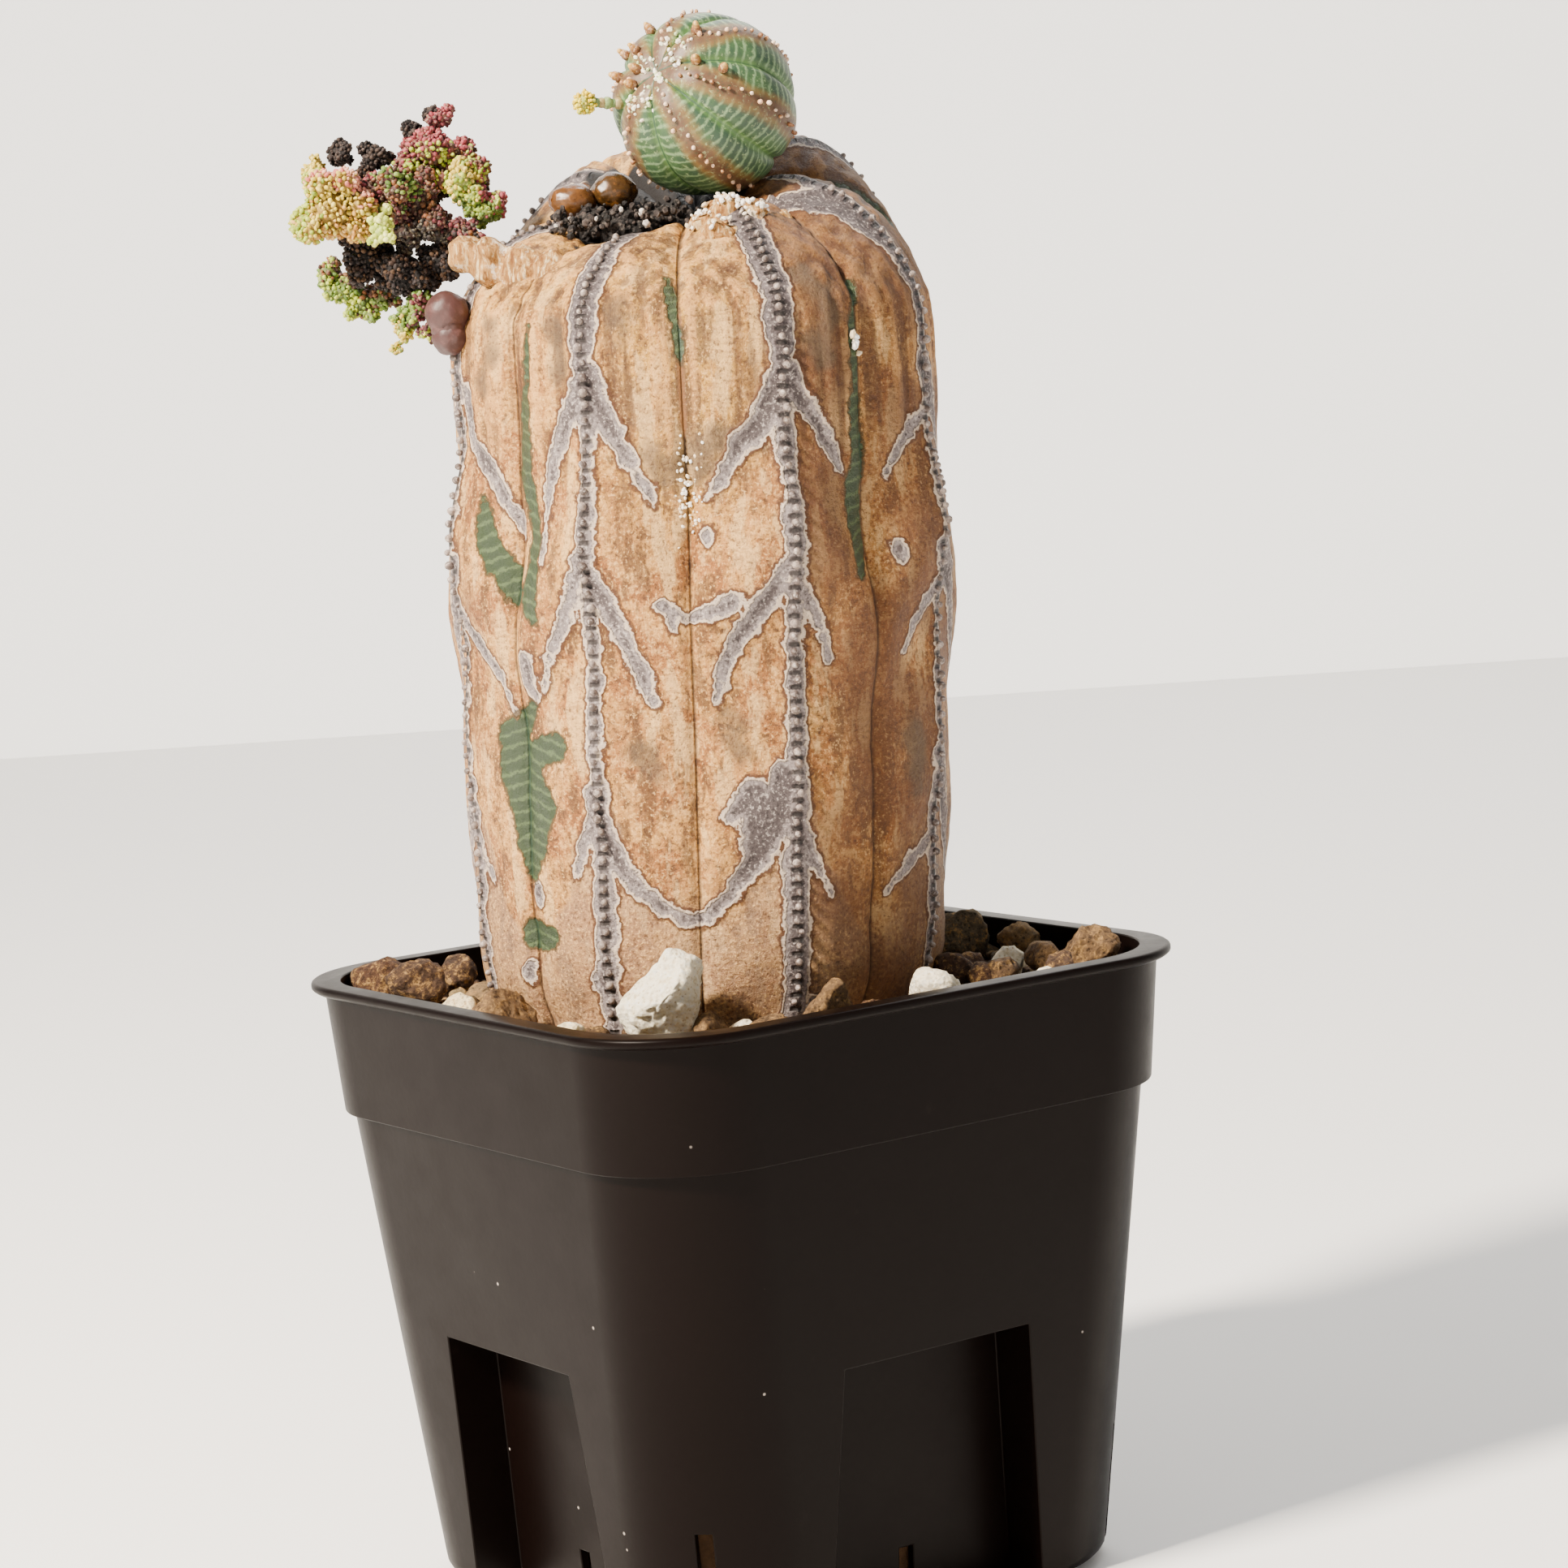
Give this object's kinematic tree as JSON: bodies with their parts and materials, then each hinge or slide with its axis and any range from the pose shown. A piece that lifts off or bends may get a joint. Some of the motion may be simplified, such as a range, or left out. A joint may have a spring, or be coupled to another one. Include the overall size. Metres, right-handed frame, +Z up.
{
  "type": "potted euphorbia",
  "caption": "Old ribbed, corky succulent column with a young green offset and a crested side branch, in a square black nursery pot topped with gravel.",
  "frame": {"origin": "centre of the pot's underside", "axes": "+Z up along the pot; the pot's sides are square to X and Y, and the plant's best side faces between -X and -Y"},
  "size_m": [0.0927, 0.09, 0.2035],
  "materials": {
    "pot_plastic": "semi-gloss injection-moulded polypropylene",
    "potting_grit": "dark porous grit and soil",
    "cork_skin": "corky bark with green windows and grey scars",
    "lava_granules": "rough porous granules",
    "white_pumice": "chalky porous stone",
    "green_skin": "smooth waxy skin with pale bands",
    "yellow_flower": "soft velvety",
    "brown_buds": "glossy brown scales",
    "cream_cork": "fibrous broken cork",
    "dead_tissue": "dry crumbly",
    "crest_green": "beaded waxy",
    "crest_rose": "beaded waxy",
    "crest_red": "beaded waxy",
    "purple_bud": "smooth waxy"
  },
  "bodies": {
    "root": {"cork_knob_front": "cream_cork", "cork_knob_right": "cream_cork", "corky_bud_left": "brown_buds", "corky_bud_right": "brown_buds", "crest_brown_head": "crest_red", "crest_green_head": "crest_green", "crest_head_low": "crest_green", "crest_head_low_left": "crest_green", "crest_purple_bud": "purple_bud", "crest_red_head": "crest_red", "crest_red_tip": "crest_red", "crest_rosette": "crest_green", "crest_rosy_head": "crest_rose", "crest_stub": "cream_cork", "crest_wine_head": "crest_red", "crest_yellow_head": "crest_green", "dead_apex": "dead_tissue", "dead_clump_lower": "dead_tissue", "dead_clump_top": "dead_tissue", "dead_clump_upper": "dead_tissue", "granule_1": "lava_granules", "granule_10": "lava_granules", "granule_11": "lava_granules", "granule_12": "lava_granules", "granule_13": "lava_granules", "granule_14": "lava_granules", "granule_15": "lava_granules", "granule_16": "lava_granules", "granule_2": "lava_granules", "granule_3": "lava_granules", "granule_4": "lava_granules", "granule_5": "lava_granules", "granule_6": "lava_granules", "granule_7": "lava_granules", "granule_8": "lava_granules", "granule_9": "lava_granules", "green_offset": "green_skin", "offset_bud_1": "brown_buds", "offset_bud_2": "brown_buds", "offset_bud_3": "brown_buds", "offset_bud_4": "brown_buds", "offset_flower_head": "yellow_flower", "offset_flower_stalk": "green_skin", "pot": "pot_plastic", "pumice_1": "white_pumice", "pumice_2": "white_pumice", "pumice_3": "white_pumice", "pumice_large": "white_pumice", "stem": "cork_skin", "substrate": "potting_grit"}
  },
  "joints": []
}
